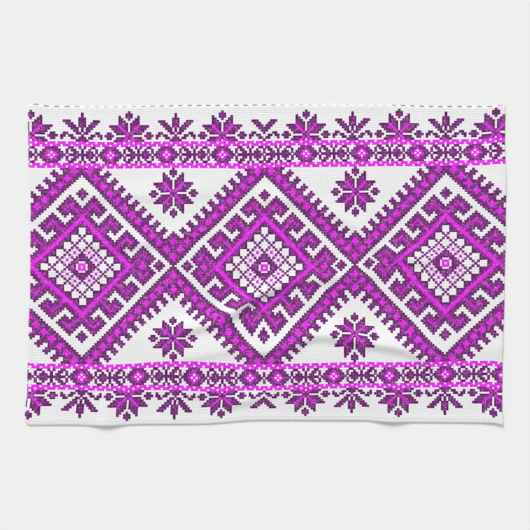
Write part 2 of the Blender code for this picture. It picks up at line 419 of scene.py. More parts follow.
@dataclass(frozen=True)
class Ornament:
    """The printed ornament, charted stitch by stitch from its motifs' own rules.

    Diamonds with hooks stand in a row along the middle, with eight-petalled stars between them. A
    border band of small rhombs and florets runs along each long side, and beyond it stand half
    stars and tulips. Everything is mirrored about the middle row and the middle column, apart from
    the florets. The numbers in the motifs count stitches.
    """

    period: int = 78
    band_row: int = 47
    star_row: int = 31
    flower_row: int = 8
    border_plus: int = 43
    half_stars: tuple[int, ...] = (18, 58, 98)
    tulips: tuple[int, ...] = (38, 78)
    band_period: int = 24
    rhombs: int = 5
    upper_rhomb: int = 18
    lower_rhomb: int = 6

    def border(self, kind: Grid, a: Grid, b: Grid) -> None:
        """Charts a diamond's border: a dark strip with bright crosses and a toothed outer edge.

        Args:
            kind: The chart, changed in place.
            a: Each stitch's distance from the diamond's centre, in columns.
            b: The same in rows.
        """
        ring = a + b
        phase = (a + 1) % 3
        kind[within(ring, 39, 46)] = Stitch.DARK
        kind[(ring == 47) & (phase != 0)] = Stitch.DARK
        kind[(ring == 48) & (phase == 2)] = Stitch.DARK
        kind[(ring == 49) & (phase != 1)] = Stitch.DARK
        kind[(ring == 50) & (phase == 0)] = Stitch.DARK
        kind[(ring == 51) & (phase != 2)] = Stitch.DARK
        kind[(a >= 37) & (b <= 12) & (ring >= 39)] = Stitch.DARK
        kind[(a == self.period // 2) & (b <= 14)] = Stitch.DARK
        places = [(3 * m, self.border_plus - 3 * m) for m in range(1, 14)]
        for column, row in [*places, (self.period // 2, 10)]:
            kind[np.abs(a - column) + np.abs(b - row) <= 1] = Stitch.BRIGHT

    def hooks(self, kind: Grid, a: Grid, b: Grid) -> None:
        """Charts the field inside the white band, with its ram's horn hooks and small diamonds.

        Args:
            kind: The chart, changed in place.
            a: Each stitch's distance from the diamond's centre, in columns.
            b: The same in rows.
        """
        ring = a + b
        field = ring <= 34
        kind[field] = Stitch.DARK
        kind[field & (b >= a + 25)] = Stitch.BARE
        kind[field & (a >= b + 29)] = Stitch.BARE
        kind[a + np.abs(b - 30) <= 2] = Stitch.DARK
        kind[np.abs(a - 33) + b <= 2] = Stitch.DARK
        for k in range(4):
            x = a - (5 + 7 * k)
            y = b - (26 - 7 * k)
            kind[(x == y) & within(x, -4, 0)] = Stitch.MIDDLE
            kind[(x == -y) & within(x, 1, 2)] = Stitch.MIDDLE
        kind[np.abs(a - 26) + b <= 1] = Stitch.BRIGHT
        for k in range(3):
            x = a - (7 + 7 * k)
            y = b - (18 - 7 * k)
            hook = within(y, 0, 2) & (np.abs(x) <= y)
            hook |= (y == 3) & within(np.abs(x), 1, 3)
            hook |= (y == 4) & ((x == -2) | within(x, 2, 4))
            hook |= (y == 5) & within(x, 3, 4)
            kind[hook] = Stitch.BARE

    def lattice(self, kind: Grid, c: Grid, r: Grid) -> None:
        """Charts the bright outline and the tiled middle of a diamond.

        Args:
            kind: The chart, changed in place.
            c: Each stitch's column, counted from the diamond's centre.
            r: The same for its row.
        """
        ring = np.abs(c) + np.abs(r)
        kind[within(ring, 20, 21)] = Stitch.BRIGHT
        kind[ring <= 19] = Stitch.DARK
        for i in range(-5, 6):
            for j in range(-5, 6):
                if abs(i) + abs(j) in (3, 5):
                    self.tile(kind, c, r, i, j)
        box = np.maximum(np.abs(c), np.abs(r))
        kind[(box <= 2) & (ring < 4)] = Stitch.BARE
        kind[box <= 1] = Stitch.BRIGHT
        kind[box == 0] = Stitch.PALE

    def tile(self, kind: Grid, c: Grid, r: Grid, i: int, j: int) -> None:
        """Charts one white tile of the lattice.

        Args:
            kind: The chart, changed in place.
            c: Each stitch's column, counted from the diamond's centre.
            r: The same for its row.
            i: How many tiles right of the centre it stands.
            j: How many tiles above it.
        """
        x = c - 3 * i
        y = r - 3 * j
        kind[np.maximum(np.abs(x), np.abs(y)) <= 1] = Stitch.BARE
        for right, up in ((1, 0), (-1, 0), (0, 1), (0, -1)):
            if abs(i + right) + abs(j + up) <= 4:
                kind[(x == 2 * right) & (y == 2 * up)] = Stitch.BARE
        if {abs(i), abs(j)} == {1, 2}:
            kind[(np.abs(x) == 1) & (np.abs(y) == 1)] = Stitch.PALE
            kind[(x == 0) & (y == 0)] = Stitch.MIDDLE

    def star(self, kind: Grid, x: Grid, y: Grid) -> None:
        """Charts an eight-petalled star with four buds.

        Args:
            kind: The chart, changed in place.
            x: Each stitch's column, counted from the star's centre.
            y: The same for its row.
        """
        far = np.maximum(np.abs(x), np.abs(y))
        near = np.minimum(np.abs(x), np.abs(y))
        kind[(near == 0) & (far <= 1)] = Stitch.DARK
        kind[within(near, 1, 4) & (far > near) & (far <= near + 4)] = Stitch.DARK
        kind[(far == near) & within(far, 1, 4)] = Stitch.BRIGHT
        kind[(near <= 1) & within(far, 8, 9)] = Stitch.DARK
        kind[(near == 0) & within(far, 7, 10)] = Stitch.DARK

    def rhomb(self, kind: Grid, x: Grid, y: Grid) -> None:
        """Charts a rhomb of the border band, with its bright eye.

        Args:
            kind: The chart, changed in place.
            x: Each stitch's column, counted from the rhomb's centre.
            y: The same for its row.
        """
        ring = np.abs(x) + np.abs(y)
        kind[ring <= 5] = Stitch.DARK
        kind[ring <= 2] = Stitch.BRIGHT
        kind[ring == 1] = Stitch.BARE

    def floret(self, kind: Grid, x: Grid, y: Grid) -> None:
        """Charts a floret of the border band. Its leaf on the side of +x is the wider one.

        Args:
            kind: The chart, changed in place.
            x: Each stitch's column, counted from the floret's centre.
            y: The same for its row.
        """
        out = np.abs(y)
        kind[(out == 0) & (np.abs(x) <= 5)] = Stitch.DARK
        kind[(out <= 2) & (x == 0)] = Stitch.DARK
        kind[(out == 3) & ((np.abs(x) == 1) | within(np.abs(x), 4, 5))] = Stitch.DARK
        kind[(out == 2) & ((x == 3) | within(x, -4, -3))] = Stitch.DARK
        kind[(out == 1) & (within(x, 2, 4) | within(x, -3, -2))] = Stitch.DARK

    def scroll(self, kind: Grid, x: Grid, out: Grid, near: int) -> None:
        """Charts the leaf scrolls on both sides of a stem.

        Args:
            kind: The chart, changed in place.
            x: Each stitch's column, counted from the stem.
            out: Its row, counted outwards from the middle of the border band.
            near: How many columns off the stem they begin.
        """
        x = np.abs(x) - near
        kind[(out == 7) & (within(x, 0, 1) | (x == 5))] = Stitch.DARK
        kind[(out == 8) & (within(x, 1, 2) | within(x, 4, 5))] = Stitch.DARK
        kind[(out == 9) & within(x, 3, 4)] = Stitch.DARK

    def tulip(self, kind: Grid, x: Grid, out: Grid) -> None:
        """Charts a tulip with two leaves, rooted in the border band.

        Args:
            kind: The chart, changed in place.
            x: Each stitch's column, counted from the stem.
            out: Its row, counted outwards from the middle of the border band.
        """
        off = np.abs(x)
        kind[within(out, 6, 8) & (off <= 8 - out)] = Stitch.DARK
        kind[within(out, 10, 17) & (off == 0)] = Stitch.DARK
        kind[within(out, 12, 15) & (off <= 1)] = Stitch.DARK
        kind[within(out, 9, 10) & within(off - out, -8, -7)] = Stitch.DARK
        kind[within(out, 11, 14) & within(off - out, -9, -7)] = Stitch.DARK
        self.scroll(kind, x, out, 3)

    def sprout(self, kind: Grid, x: Grid, out: Grid) -> None:
        """Charts the V of two leaves in the middle of a long side.

        Args:
            kind: The chart, changed in place.
            x: Each stitch's column, counted from the stem.
            out: Its row, counted outwards from the middle of the border band.
        """
        off = np.abs(x)
        kind[((out == 6) | (out == 9) | (out == 11)) & (off == 0)] = Stitch.DARK
        kind[(out == 10) & (off <= 1)] = Stitch.DARK
        kind[within(out, 11, 14) & within(off - out, -11, -9) & (off > 0)] = Stitch.DARK
        self.scroll(kind, x, out, 1)

    def flowers(self, kind: Grid, c: Grid, out: Grid) -> None:
        """Charts the flowers along a long side.

        Args:
            kind: The chart, changed in place.
            c: Each stitch's column.
            out: Its row, counted outwards from the middle of the border band.
        """
        outside = out >= 6
        kind[outside] = Stitch.BARE
        flowers = np.full(kind.shape, Stitch.BARE)
        for centre in self.half_stars:
            self.star(flowers, np.abs(c) - centre, out - self.flower_row)
        for centre in self.tulips:
            self.tulip(flowers, np.abs(c) - centre, out)
        self.sprout(flowers, c, out)
        kind[outside] = flowers[outside]

    def band(self, kind: Grid, c: Grid, out: Grid, first: int, turn: int) -> None:
        """Charts a border band.

        Args:
            kind: The chart, changed in place.
            c: Each stitch's column.
            out: Its row, counted outwards from the middle of the band.
            first: The column of the rhomb next to the middle.
            turn: 1 where the florets' wider leaves are on the right, -1 where on the left.
        """
        off = np.abs(out)
        kind[off <= 5] = Stitch.BARE
        inside = np.full(kind.shape, Stitch.BARE)
        for k in range(self.rhombs):
            rhomb = first + self.band_period * k
            floret = self.band_period * (k + 1) - first
            for side in (-1, 1):
                self.rhomb(inside, c - side * rhomb, out)
                self.floret(inside, (c - side * floret) * turn, out)
        inside[(c % (self.band_period // 2) == 0) & within(off, 1, 2)] = Stitch.DARK
        kind[off <= 3] = inside[off <= 3]
        kind[within(off, 4, 5)] = Stitch.BRIGHT
        kind[(off == 5) & (c % 4 == 0)] = Stitch.BARE
        kind[(off == 4) & (c % 4 == 2)] = Stitch.BARE

    def chart(self, columns: Grid, rows: Grid) -> Grid:
        """Charts the whole print.

        Args:
            columns: The columns to chart.
            rows: The rows to chart.

        Returns:
            The kind of each stitch, columns first.
        """
        c, r = np.meshgrid(columns, rows, indexing="ij")
        half = self.period // 2
        centred = (c + half) % self.period - half
        kind = np.full(c.shape, Stitch.BARE)
        self.border(kind, np.abs(centred), np.abs(r))
        self.hooks(kind, np.abs(centred), np.abs(r))
        self.lattice(kind, centred, r)
        self.star(kind, np.abs(c) - half, np.abs(r) - self.star_row)
        for up, first in ((1, self.upper_rhomb), (-1, self.lower_rhomb)):
            out = r * up - self.band_row
            self.flowers(kind, c, out)
            self.band(kind, c, out, first, up)
        return kind


@dataclass(frozen=True)
class Drape:
    """How the cut cloth lies: its outline, its folds, and the place of each of its points.

    The points that are laid out are step apart, and the cloth is drawn in over its folds in
    squeeze_rounds rounds.
    """

    step: float = 2.0
    squeeze_rounds: int = 3

    def edge_place(self, edge: tuple[EdgePoint, ...], along: Grid) -> Grid:
        """Reads where an edge runs.

        Args:
            edge: The edge's points.
            along: Places along it.

        Returns:
            The edge's own place at each of them.
        """
        ends = np.array([point.along for point in edge])
        outs = np.array([point.out for point in edge])
        span = np.clip(np.searchsorted(ends, along, side="right") - 1, 0, len(edge) - 2)
        share = np.clip((along - ends[span]) / (ends[span + 1] - ends[span]), 0, 1)
        return between(outs[span], outs[span + 1], share)

    def height(self, x: Grid, y: Grid) -> Grid:
        """How high the underside lies above the surface at each point."""
        return sum(fold_height(fold, x, y) for fold in FOLDS)

    def shares(self, cut: Grid, rise: Grid) -> Grid:
        """Draws the cloth in where it climbs over a fold.

        Args:
            cut: Places along the cut cloth.
            rise: Climb from each place to the next, one row for each line of the cloth.

        Returns:
            How far along its line each place comes, from 0 to 1.
        """
        level = np.sqrt(np.maximum(np.diff(cut) ** 2 - rise**2, 0))
        run = np.concatenate([np.zeros((len(level), 1)), np.cumsum(level, axis=1)], axis=1)
        return run / run[:, -1:]

    def places(self, along: Grid, across: Grid) -> tuple[Grid, Grid, Grid]:
        """Lays the cut cloth out.

        Args:
            along: Each point's place on the cut cloth, along its length.
            across: The same across its width.

        Returns:
            x, y and z of each point on the underside of the laid-out towel.
        """
        columns = np.linspace(-CUT_LENGTH / 2, CUT_LENGTH / 2, round(CUT_LENGTH / self.step) + 1)
        rows = np.linspace(-CUT_WIDTH / 2, CUT_WIDTH / 2, round(CUT_WIDTH / self.step) + 1)
        cut_x, cut_y = np.meshgrid(columns, rows, indexing="ij")
        left = self.edge_place(LEFT_EDGE, cut_y)
        right = self.edge_place(RIGHT_EDGE, cut_y)
        bottom = self.edge_place(BOTTOM_EDGE, cut_x)
        top = self.edge_place(TOP_EDGE, cut_x)
        share_x = cut_x / CUT_LENGTH + 0.5
        share_y = cut_y / CUT_WIDTH + 0.5
        for _ in range(self.squeeze_rounds):
            x = left + (right - left) * share_x
            y = bottom + (top - bottom) * share_y
            z = self.height(x, y)
            share_x = self.shares(columns, np.diff(z, axis=0).T).T
            share_y = self.shares(rows, np.diff(z, axis=1))
        column = np.clip((along - columns[0]) / (columns[1] - columns[0]), 0, len(columns) - 1)
        row = np.clip((across - rows[0]) / (rows[1] - rows[0]), 0, len(rows) - 1)
        i = np.minimum(column.astype(int), len(columns) - 2)
        j = np.minimum(row.astype(int), len(rows) - 2)
        u = column - i
        v = row - j
        return tuple(
            (1 - u) * (1 - v) * grid[i, j] + u * (1 - v) * grid[i + 1, j]
            + (1 - u) * v * grid[i, j + 1] + u * v * grid[i + 1, j + 1]
            for grid in (x, y, z)
        )


@dataclass(frozen=True)
class PrintLayout:
    """Where the print's stitches lie on the cut cloth.

    None lies beyond far_column and far_row. least_cell is the least room between the grid's
    last line and the rim's rounding, and the folds' pull is found in pull_rounds rounds.
    """

    far_column: int = 104
    far_row: int = 69
    least_cell: float = 0.5
    pull_rounds: int = 10

    def along(self, column: Grid, row: Grid) -> Grid:
        """The place along the cut cloth of a column, at a row."""
        return self.lookup(PRINT_COLUMNS, COLUMN_LEVELS, column, row)

    def across(self, column: Grid, row: Grid) -> Grid:
        """Finds the places of rows across the cut cloth, as the folds leave them.

        Args:
            column: The columns at which they are wanted.
            row: The rows.

        Returns:
            Their places.
        """
        along = self.along(column, row)
        level = self.lookup(PRINT_ROWS, ROW_PLACES, row, column)
        place = level
        for _ in range(self.pull_rounds):
            pulled = level + sum(fold_height(pull, along, place) for pull in PRINT_PULLS)
            place = (place + pulled) / 2
        return place

    def lookup(self, table: tuple[PrintColumn | PrintRow, ...], places: tuple[float, ...],
               main: Grid, other: Grid) -> Grid:
        """Reads a print table between its rows and columns.

        Args:
            table: The table. Its first column is the column or row of stitches.
            places: Where its other columns stand.
            main: The columns or rows of stitches to look up.
            other: Where they are wanted.

        Returns:
            Their places on the cut cloth.
        """
        numbers = np.array(sorted(table), float)
        places, order = np.unique(places, return_index=True)
        values = numbers[:, 1:][:, order]
        i = np.clip(np.searchsorted(numbers[:, 0], main) - 1, 0, len(numbers) - 2)
        j = np.clip(np.searchsorted(places, other) - 1, 0, len(places) - 2)
        u = (main - numbers[i, 0]) / (numbers[i + 1, 0] - numbers[i, 0])
        v = np.clip((other - places[j]) / (places[j + 1] - places[j]), 0, 1)
        low = values[i, j] + (values[i, j + 1] - values[i, j]) * v
        high = values[i + 1, j] + (values[i + 1, j + 1] - values[i + 1, j]) * v
        return low + (high - low) * u

    def lines(self) -> tuple[Grid, Grid]:
        """Finds the lines between the stitches that lie on the cloth from end to end.

        Returns:
            Their columns and their rows, half way between two stitches.
        """
        column = np.arange(-self.far_column, self.far_column) + 0.5
        row = np.arange(-self.far_row, self.far_row) + 0.5
        c, r = np.meshgrid(column, row, indexing="ij")
        room = HEM_ROUNDING + self.least_cell
        fits_x = np.abs(self.along(c, r)).max(axis=1) < CUT_LENGTH / 2 - room
        fits_y = np.abs(self.across(c, r)).max(axis=0) < CUT_WIDTH / 2 - room
        return column[fits_x], row[fits_y]


@dataclass(frozen=True)
class TowelGrid:
    """The sheet's grid: its lines run between the stitches, with three more by each edge.

    column and row say which stitch each crossing is at, and along and across where it is on the
    cut cloth.
    """

    column: Grid
    row: Grid
    along: Grid
    across: Grid

    @classmethod
    def make(cls, layout: PrintLayout) -> "TowelGrid":
        """Lays the grid on the cut cloth.

        Args:
            layout: Where the print lies.

        Returns:
            The grid.
        """
        columns, rows = layout.lines()
        c, r = np.meshgrid(columns, rows, indexing="ij")
        along = layout.along(c, r)
        across = layout.across(c, r)
        along, c = cls.add_ends(along, c, CUT_LENGTH / 2)
        across, r = cls.add_ends(across.T, r.T, CUT_WIDTH / 2)
        across, r = across.T, r.T
        along, c = cls.repeat_sides(along), cls.repeat_sides(c)
        across, r = cls.repeat_sides(across.T).T, cls.repeat_sides(r.T).T
        return cls(c, r, along, across)

    @classmethod
    def add_ends(cls, place: Grid, stitch: Grid, end: float) -> tuple[Grid, Grid]:
        """Adds the lines at both ends of the cloth.

        Args:
            place: The lines' places on the cut cloth.
            stitch: Which stitch each of them is at.
            end: The place of the cloth's far end. The near one is at -end.

        Returns:
            Both with the new lines.
        """
        low, low_stitch = cls.lines_beyond(place[:2], stitch[:2], -end)
        high, high_stitch = cls.lines_beyond(place[:-3:-1], stitch[:-3:-1], end)
        places = np.vstack([low[::-1], place, high])
        return places, np.vstack([low_stitch[::-1], stitch, high_stitch])

    @staticmethod
    def lines_beyond(place: Grid, stitch: Grid, edge: float) -> tuple[Grid, Grid]:
        """Sets the lines beyond an outer line: half way to the rim's rounding, at it, at the edge.

        Args:
            place: The places of the outer line and of the one before it.
            stitch: Which stitch each of them is at.
            edge: The place of the cloth's edge.

        Returns:
            The new lines' places and stitches, outwards.
        """
        rounding = edge - math.copysign(HEM_ROUNDING, edge)
        at_rounding = np.full(place[0].shape, rounding)
        at_edge = np.full(place[0].shape, edge)
        added = np.array([(place[0] + rounding) / 2, at_rounding, at_edge])
        pitch = (stitch[0] - stitch[1]) / (place[0] - place[1])
        return added, stitch[0] + (added - place[0]) * pitch

    @staticmethod
    def repeat_sides(values: Grid) -> Grid:
        """Carries the outer lines' values on to the lines beyond them on each side."""
        return np.pad(values, ((0, 0), (END_LINES, END_LINES)), mode="edge")


@dataclass(frozen=True)
class Cloth:
    """A waffle cloth's finish. Lengths are in millimetres on the cut cloth.

    Its tone has slow patches, down to worn_patch of the full one. Over them lies a painted shade that
    stands in for the light's fall-off towards the lower right: its corner factor is how dark it gets
    there, its slant how far right counts beside down, and its span where it begins and ends. The
    weave's pits and the sewing line's groove get painted shade too.
    """

    colour: Colour = (0.855, 0.855, 0.862, 1.0)
    patch_scale: float = 0.018
    patch_detail: float = 3.0
    worn_patch: float = 0.975
    # painted shade standing in for the light's fall-off towards the lower right
    painted_shade_corner: float = 0.945
    painted_shade_slant: float = 0.4
    painted_shade_span: Range = (-250.0, 250.0)
    # painted shade in the weave's pits and in the sewing line's groove
    painted_pit_shade: float = 0.05
    painted_groove_shade: float = 0.05
    roughness: float = 0.9
    pit_roughness: float = 0.95
    ink_roughness: float = 0.8
    gloss: float = 0.12
    sheen: float = 0.04
    sheen_roughness: float = 0.5
    waffle: float = 3.2
    waffle_depth: float = 0.17
    thread: float = 0.55
    thread_depth: float = 0.05
    sewing_margin: float = 1.5
    sewing_stitch: float = 2.6
    sewing_depth: float = 0.1
    sewing_height: float = 0.08


@dataclass(frozen=True)
class Ink:
    """The print's colours, and the shape and tone of its stitches in parts of a stitch.

    The spans say between which values of a mask or a noise a change happens.
    """

    dark: Colour = (0.183, 0.010, 0.222, 1.0)
    warm: Colour = (0.220, 0.011, 0.182, 1.0)
    outline: Colour = (0.070, 0.006, 0.075, 1.0)
    bright: Colour = (0.78, 0.024, 0.79, 1.0)
    pale: Colour = (0.83, 0.42, 0.84, 1.0)
    gap: Colour = (0.62, 0.32, 0.64, 1.0)
    warm_span: Range = (0.35, 0.65)
    arm: float = 0.3
    point: float = 0.17
    notch: float = 0.07
    halo: float = 0.16
    halo_span: Range = (0.05, 0.5)
    glow: float = 0.9
    glow_span: Range = (0.3, 0.75)
    stain: Colour = (0.88, 0.66, 0.89, 1.0)
    stain_cover: float = 0.5
    spread: float = 0.16
    gap_cover: float = 0.25
    speck_cover: float = 0.5
    speck_span: Range = (0.7, 1.0)
    worn: Range = (0.6, 1.4)
    grains: float = 1.4
    uneven: float = 0.45
    evenness: float = 0.6


class Nodes:
    """Short calls for building a node tree.

    A value is an output of another node, or a plain number, vector or colour.
    """

    def __init__(self, tree: bpy.types.NodeTree) -> None:
        """Keeps the tree that the calls add to."""
        self.tree = tree

    def add(self, kind: str, values: dict[int | str, object], **settings: object) -> bpy.types.Node:
        """Adds a node.

        Args:
            kind: The node's type, without its ShaderNode prefix.
            values: Its inputs' values, by their places or names.
            **settings: Its properties' values.

        Returns:
            The node.
        """
        node = self.tree.nodes.new("ShaderNode" + kind)
        for key, value in settings.items():
            setattr(node, key, value)
        for key, value in values.items():
            self.feed(node.inputs[key], value)
        return node

    def feed(self, socket: Socket, value: object) -> None:
        """Feeds an input.

        Args:
            socket: The input.
            value: The output that is linked to it, or a value of its own.
        """
        if isinstance(value, Socket):
            self.tree.links.new(value, socket)
        else:
            socket.default_value = value

    def maths(self, operation: str, *values: object) -> Socket:
        """The result of a Math node."""
        return self.add("Math", dict(enumerate(values)), operation=operation).outputs[0]

    def plus(self, first: object, second: object) -> Socket:
        """The sum of two numbers."""
        return self.maths("ADD", first, second)

    def minus(self, first: object, second: object) -> Socket:
        """The first number less the second."""
        return self.maths("SUBTRACT", first, second)

    def times(self, first: object, second: object) -> Socket:
        """The product of two numbers."""
        return self.maths("MULTIPLY", first, second)

    def more(self, first: object, second: object) -> Socket:
        """The greater of two numbers."""
        return self.maths("MAXIMUM", first, second)

    def lifted(self, value: object, factor: object, base: object) -> Socket:
        """The value times a factor, plus a base."""
        return self.maths("MULTIPLY_ADD", value, factor, base)

    def scaled(self, vector: object, factor: object) -> Socket:
        """The vector times a number."""
        return self.add("VectorMath", {0: vector, "Scale": factor}, operation="SCALE").outputs[0]

    def ramp(self, value: object, low: object, high: object, start: object = 0.0,
             end: object = 1.0) -> Socket:
        """Goes smoothly from start to end as the value goes from low to high."""
        numbers = dict(enumerate((value, low, high, start, end)))
        return self.add("MapRange", numbers, interpolation_type="SMOOTHSTEP").outputs[0]

    def mix(self, share: object, first: object, second: object) -> Socket:
        """A mix of two colours."""
        return self.add("Mix", {0: share, 6: first, 7: second}, data_type="RGBA").outputs[2]

    def choose(self, share: object, first: object, second: object) -> Socket:
        """The first number where the share is 0, and the second where it is 1."""
        return self.add("Mix", {0: share, 2: first, 3: second}, data_type="FLOAT").outputs[0]

    def noise(self, place: object, scale: float, detail: float) -> Socket:
        """Noise from 0 to 1 at this place."""
        values = {"Vector": place, "Scale": scale, "Detail": detail}
        return self.add("TexNoise", values).outputs[0]

    def chance(self, x: object, y: object) -> Socket:
        """Draws a chance number from 0 to 1 for each unit square.

        Args:
            x: The place along.
            y: The place across.

        Returns:
            The number.
        """
        floors = {0: self.maths("FLOOR", x), 1: self.maths("FLOOR", y)}
        square = self.add("CombineXYZ", floors).outputs[0]
        return self.add("TexWhiteNoise", {"Vector": square}, noise_dimensions="2D").outputs["Value"]

    def parts(self, vector: object) -> tuple[Socket, ...]:
        """The three numbers of a vector."""
        return tuple(self.add("SeparateXYZ", {0: vector}).outputs)

    def attribute(self, name: str) -> tuple[Socket, ...]:
        """The four numbers of an attribute of the mesh."""
        node = self.add("Attribute", {}, attribute_name=name, attribute_type="GEOMETRY")
        return *self.parts(node.outputs["Vector"]), node.outputs["Alpha"]

    def use(self, group: bpy.types.NodeTree, values: dict[str, object]) -> bpy.types.Node:
        """Places a node group, with its inputs' values."""
        return self.add("Group", values, node_tree=group)


def new_group(name: str, takes: tuple[str, ...], gives: tuple[str, ...]) -> tuple[
        bpy.types.NodeTree, Nodes, bpy.types.NodeOutputs, bpy.types.NodeInputs]:
    """Starts a shader node group.

    Args:
        name: The group's name.
        takes: Its inputs' names. Place is a vector, and the others are numbers.
        gives: Its outputs' names, all numbers.

    Returns:
        The group, the calls that add to it, its inputs' sockets and its outputs' sockets.
    """
    group = bpy.data.node_groups.new(name, "ShaderNodeTree")
    for way, names in (("INPUT", takes), ("OUTPUT", gives)):
        for key in names:
            kind = "NodeSocketVector" if key == "Place" else "NodeSocketFloat"
            group.interface.new_socket(name=key, in_out=way, socket_type=kind)
    start = group.nodes.new("NodeGroupInput")
    end = group.nodes.new("NodeGroupOutput")
    return group, Nodes(group), start.outputs, end.inputs


class Weaving:
    """The shader node groups of the cloth's two sides.

    Places are in millimetres on the cut cloth, and in stitches on the print. A span says between
    which values of a wave or a distance a change happens, a softness how wide a stitch's blurred
    edges are, and is_point past which value of Corner there is a point.
    """

    wobble_scale: float = 0.05
    wobble_detail: float = 2.0
    ridge_span: Range = (-1.6, 1.2)
    arm_soft: float = 0.12
    point_soft: float = 0.05
    spread_soft: float = 0.06
    is_point: float = 0.4
    warmth_scale: float = 0.45
    warmth_detail: float = 1.0
    dash_span: Range = (0.36, 0.44)
    thread_span: Range = (0.18, 0.34)
    groove_span: Range = (0.2, 0.9)

    def __init__(self) -> None:
        """Builds each group once."""
        self.waffle = self.make_waffle()
        self.stitch = self.make_stitch()
        self.hem = self.make_hem()

    def wave(self, n: Nodes, place: object, pitch: object) -> Socket:
        """A cosine wave of this pitch."""
        turn = n.maths("DIVIDE", place, pitch)
        return n.maths("COSINE", n.times(turn, 2 * math.pi))

    def near(self, n: Nodes, distance: object, reach: object, soft: float) -> Socket:
        """1 nearer than the reach and 0 beyond, with a soft edge."""
        return n.ramp(distance, n.minus(reach, soft), reach, 1.0, 0.0)

    def make_waffle(self) -> bpy.types.NodeTree:
        """Builds the waffle weave: a net of raised ridges round small pits, and their threads.

        Returns:
            The group. It gives the weave's height in millimetres, and a mask that is 0 in its
            pits.
        """
        takes = ("Place", "Pitch", "Thread", "Depth", "Thread depth")
        group, n, get, put = new_group("waffle weave", takes, ("Height", "Pits"))
        wobble = n.noise(get["Place"], self.wobble_scale, self.wobble_detail)
        x, y, _ = n.parts(get["Place"])
        x = n.plus(x, wobble)
        waves = [self.wave(n, place, get["Pitch"]) for place in (x, y)]
        pits = n.ramp(n.plus(*waves), *self.ridge_span)
        fine = n.times(*(self.wave(n, place, get["Thread"]) for place in (x, y)))
        deep = n.times(n.minus(1.0, pits), get["Depth"])
        shallow = n.times(fine, get["Thread depth"])
        n.feed(put["Height"], n.plus(deep, shallow))
        n.feed(put["Pits"], pits)
        return group

    def make_stitch(self) -> bpy.types.NodeTree:
        """Builds one printed cross stitch in each unit square.

        Its arms reach the corners, with small gaps between them, and its tone changes from grain
        to grain. The ink comes to a point where Corner is 1, and the cloth where it is -1.
        The ink of the squares beside a bare one spreads into it: Left, Right, Below and Above are
        0 where they are bare, 1 where they are dark and 2 where they are bright.

        Returns:
            The group. It gives where the ink covers the cloth, where the gaps are, the grains'
            tone, a slow change of warmth, and how bright the ink is that has spread.
        """
        takes = ("Place", "Arm", "Point", "Notch", "Grains", "Corner", "Inked", "Spread", "Left",
                 "Right", "Below", "Above")
        gives = ("Cover", "Gap", "Tone", "Warmth", "Spread glow")
        group, n, get, put = new_group("printed stitch", takes, gives)
        across, up, _ = n.parts(get["Place"])
        x = n.maths("FRACT", across)
        y = n.maths("FRACT", up)
        rising = n.maths("ABSOLUTE", n.minus(x, y))
        falling = n.maths("ABSOLUTE", n.minus(n.plus(x, y), 1.0))
        off = n.maths("MINIMUM", rising, falling)
        n.feed(put["Gap"], n.ramp(off, n.minus(get["Arm"], self.arm_soft), get["Arm"]))
        slants = (n.plus(across, up), n.minus(across, up))
        n.feed(put["Tone"], n.chance(*(n.times(slant, get["Grains"]) for slant in slants)))
        from_x = n.maths("PINGPONG", x, 0.5)
        from_y = n.maths("PINGPONG", y, 0.5)
        squares = (n.maths("POWER", from_x, 2.0), n.maths("POWER", from_y, 2.0))
        far = n.maths("SQRT", n.plus(*squares))
        point = self.near(n, far, get["Point"], self.point_soft)
        point = n.times(point, n.maths("GREATER_THAN", get["Corner"], self.is_point))
        notch = self.near(n, far, get["Notch"], self.point_soft)
        notch = n.times(notch, n.maths("LESS_THAN", get["Corner"], -self.is_point))
        cover = n.more(get["Inked"], point)
        glow = 0.0
        sides = {"Left": x, "Right": n.minus(1.0, x), "Below": y, "Above": n.minus(1.0, y)}
        for side, distance in sides.items():
            spread = self.near(n, distance, get["Spread"], self.spread_soft)
            inked = n.times(spread, n.maths("GREATER_THAN", get[side], 0.5))
            cover = n.more(cover, inked)
            bright = n.times(spread, n.minus(get[side], 1.0))
            glow = n.more(glow, bright)
        n.feed(put["Cover"], n.times(cover, n.minus(1.0, notch)))
        n.feed(put["Spread glow"], glow)
        n.feed(put["Warmth"], n.noise(get["Place"], self.warmth_scale, self.warmth_detail))
        return group

    def make_hem(self) -> bpy.types.NodeTree:
        """Builds the hem's sewing line, a few millimetres in from the edge.

        Returns:
            The group. It gives where the thread is, and where the groove that it draws in.
        """
        takes = ("Place", "Half length", "Half width", "Line", "Stitch")
        group, n, get, put = new_group("hem sewing", takes, ("Thread", "Groove"))
        x, y, _ = n.parts(get["Place"])
        from_end = n.minus(get["Half length"], n.maths("ABSOLUTE", x))
        from_side = n.minus(get["Half width"], n.maths("ABSOLUTE", y))
        edge = n.maths("MINIMUM", from_end, from_side)
        off = n.maths("ABSOLUTE", n.minus(edge, get["Line"]))
        run = n.choose(n.maths("LESS_THAN", from_end, from_side), x, y)
        turn = n.maths("FRACT", n.maths("DIVIDE", run, get["Stitch"]))
        dash = n.ramp(n.maths("ABSOLUTE", n.minus(turn, 0.5)), *self.dash_span, 1.0, 0.0)
        line = n.ramp(off, *self.thread_span, 1.0, 0.0)
        n.feed(put["Thread"], n.times(line, dash))
        n.feed(put["Groove"], n.ramp(off, *self.groove_span, 1.0, 0.0))
        return group


